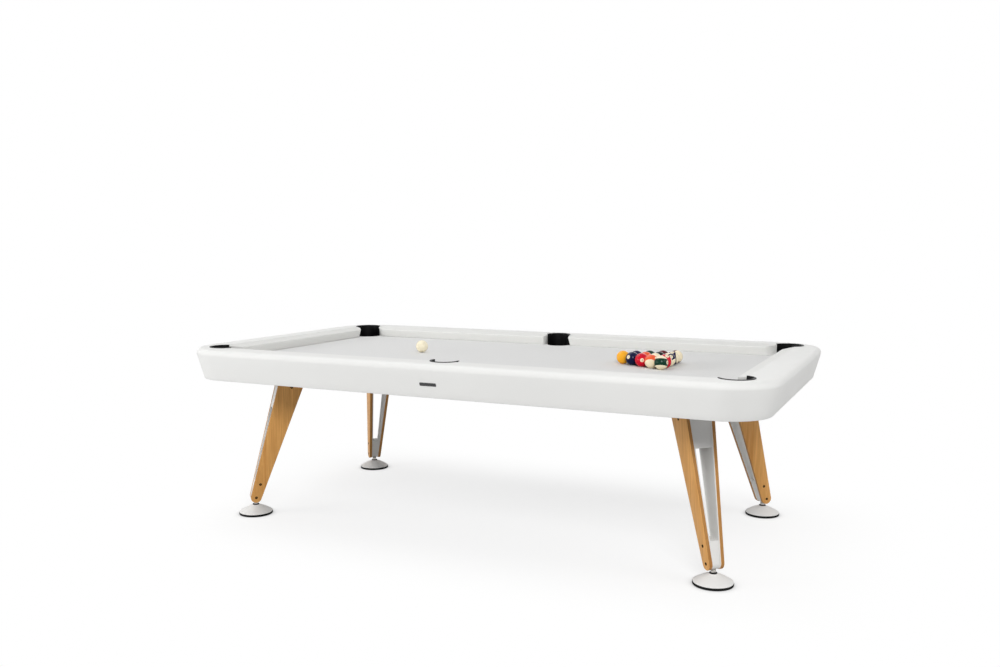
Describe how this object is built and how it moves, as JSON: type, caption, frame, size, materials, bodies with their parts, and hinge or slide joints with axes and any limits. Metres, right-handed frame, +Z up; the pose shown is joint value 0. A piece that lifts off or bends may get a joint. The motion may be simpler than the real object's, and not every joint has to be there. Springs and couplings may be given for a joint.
{
  "type": "pool table",
  "caption": "Pool table with a rolled-edge white apron, slate bed, cloth-covered cushions, drop pockets, splayed wood and steel legs on levelling feet, and racked balls.",
  "frame": {"origin": "middle of the table, on the floor that the foot pads stand on", "axes": "+X along the table's length towards the racked balls, -Y to the front side, +Z up"},
  "size_m": [2.5658, 1.4458, 0.78],
  "materials": {
    "white_shell": "satin white powder coat",
    "bed_cloth": "short-napped pale cloth",
    "slate": "honed",
    "cushion_cloth": "pale cloth over rubber",
    "rail_timber": "sawn",
    "plated_steel": "zinc plated",
    "pocket_black": "satin moulded",
    "frame_paint": "powder coat",
    "leg_paint": "satin white powder coat",
    "leg_wood": "oiled hardwood",
    "black_screw": "black oxide",
    "foot_paint": "satin white powder coat",
    "pad_rubber": "matte",
    "stud_steel": "turned",
    "ivory_ball": "polished",
    "coloured_balls": "polished"
  },
  "bodies": {
    "table": {"apron_shell": "white_shell", "rail_top": "white_shell", "bed_cloth": "bed_cloth", "slate_left": "slate", "slate_middle": "slate", "slate_right": "slate", "cushion_front_left": "cushion_cloth", "cushion_front_right": "cushion_cloth", "cushion_back_left": "cushion_cloth", "cushion_back_right": "cushion_cloth", "cushion_left_end": "cushion_cloth", "cushion_right_end": "cushion_cloth", "rail_front_left": "rail_timber", "rail_front_right": "rail_timber", "rail_back_left": "rail_timber", "rail_back_right": "rail_timber", "rail_left_end": "rail_timber", "rail_right_end": "rail_timber", "bolts": "plated_steel", "pocket_front_left": "pocket_black", "pocket_front_middle": "pocket_black", "pocket_front_right": "pocket_black", "pocket_back_left": "pocket_black", "pocket_back_middle": "pocket_black", "pocket_back_right": "pocket_black", "long_beam_front": "frame_paint", "long_beam_back": "frame_paint", "cross_beam_1": "frame_paint", "cross_beam_2": "frame_paint", "cross_beam_3": "frame_paint", "cross_beam_4": "frame_paint", "leg_frame_fl": "leg_paint", "leg_frame_fr": "leg_paint", "leg_frame_bl": "leg_paint", "leg_frame_br": "leg_paint", "leg_panel_fl_left": "leg_wood", "leg_panel_fl_right": "leg_wood", "leg_panel_fr_left": "leg_wood", "leg_panel_fr_right": "leg_wood", "leg_panel_bl_left": "leg_wood", "leg_panel_bl_right": "leg_wood", "leg_panel_br_left": "leg_wood", "leg_panel_br_right": "leg_wood", "panel_screws": "black_screw"},
    "foot_fl": {"foot_fl": "foot_paint", "foot_pad_fl": "pad_rubber"},
    "stud_fl": {"stud_fl": "stud_steel"},
    "foot_fr": {"foot_fr": "foot_paint", "foot_pad_fr": "pad_rubber"},
    "stud_fr": {"stud_fr": "stud_steel"},
    "foot_bl": {"foot_bl": "foot_paint", "foot_pad_bl": "pad_rubber"},
    "stud_bl": {"stud_bl": "stud_steel"},
    "foot_br": {"foot_br": "foot_paint", "foot_pad_br": "pad_rubber"},
    "stud_br": {"stud_br": "stud_steel"},
    "cue_ball": {"cue_ball": "ivory_ball"},
    "object_balls": {"object_balls": "coloured_balls"}
  },
  "joints": [
    {"name": "foot_travel_fl", "type": "slide", "parent": "table", "child": "foot_fl", "axis": [0, 0, -1], "range_m": [-0.01, 0.02]},
    {"name": "stud_turn_fl", "type": "hinge", "parent": "foot_fl", "child": "stud_fl", "pos_m": [-1.053, -0.494, 0.06], "axis": [0, 0, -1], "range_deg": [-1441, 2881]},
    {"name": "foot_travel_fr", "type": "slide", "parent": "table", "child": "foot_fr", "axis": [0, 0, -1], "range_m": [-0.01, 0.02]},
    {"name": "stud_turn_fr", "type": "hinge", "parent": "foot_fr", "child": "stud_fr", "pos_m": [1.053, -0.494, 0.06], "axis": [0, 0, -1], "range_deg": [-1441, 2881]},
    {"name": "foot_travel_bl", "type": "slide", "parent": "table", "child": "foot_bl", "axis": [0, 0, -1], "range_m": [-0.01, 0.02]},
    {"name": "stud_turn_bl", "type": "hinge", "parent": "foot_bl", "child": "stud_bl", "pos_m": [-1.053, 0.494, 0.06], "axis": [0, 0, -1], "range_deg": [-1441, 2881]},
    {"name": "foot_travel_br", "type": "slide", "parent": "table", "child": "foot_br", "axis": [0, 0, -1], "range_m": [-0.01, 0.02]},
    {"name": "stud_turn_br", "type": "hinge", "parent": "foot_br", "child": "stud_br", "pos_m": [1.053, 0.494, 0.06], "axis": [0, 0, -1], "range_deg": [-1441, 2881]},
    {"name": "cue_ball_run", "type": "slide", "parent": "table", "child": "cue_ball", "axis": [1, 0, 0], "range_m": [-0.6, 0.9]},
    {"name": "rack_lift", "type": "slide", "parent": "table", "child": "object_balls", "axis": [0, 0, 1], "range_m": [0, 0.1]}
  ],
  "couplings": [
    {"joint": "stud_turn_fl", "follows": "foot_travel_fl", "rad_per_m": 2513.3},
    {"joint": "stud_turn_fr", "follows": "foot_travel_fr", "rad_per_m": 2513.3},
    {"joint": "stud_turn_bl", "follows": "foot_travel_bl", "rad_per_m": 2513.3},
    {"joint": "stud_turn_br", "follows": "foot_travel_br", "rad_per_m": 2513.3}
  ]
}
